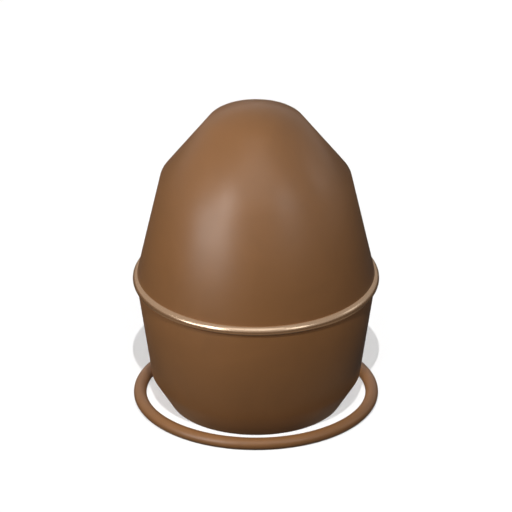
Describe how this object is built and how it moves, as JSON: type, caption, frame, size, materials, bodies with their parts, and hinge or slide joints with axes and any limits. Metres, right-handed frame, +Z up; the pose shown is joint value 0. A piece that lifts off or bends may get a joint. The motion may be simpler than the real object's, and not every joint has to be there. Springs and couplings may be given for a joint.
{
  "type": "chocolate egg",
  "caption": "Moulded milk chocolate egg with tapering walls and a flat foot, a lustred bead piped round its seam, and a thin loose chocolate ring round its foot",
  "frame": {"origin": "middle of the egg's flat foot, on the surface that the egg and its ring stand on", "axes": "+Z up along the egg's upright axis, from the flat foot to the narrow crown; the egg is round, so +X and +Y are free, and the pictured side faces -Y"},
  "size_m": [0.0924, 0.0924, 0.121],
  "materials": {
    "egg_chocolate": "satin moulded milk chocolate",
    "bronze_lustre": "glossy chocolate brushed with bronze lustre",
    "ring_chocolate": "satin milk chocolate, piped and set on a flat sheet"
  },
  "bodies": {
    "root": {"egg_body": "egg_chocolate", "seam_bead": "bronze_lustre", "foot_ring": "ring_chocolate"}
  },
  "joints": []
}
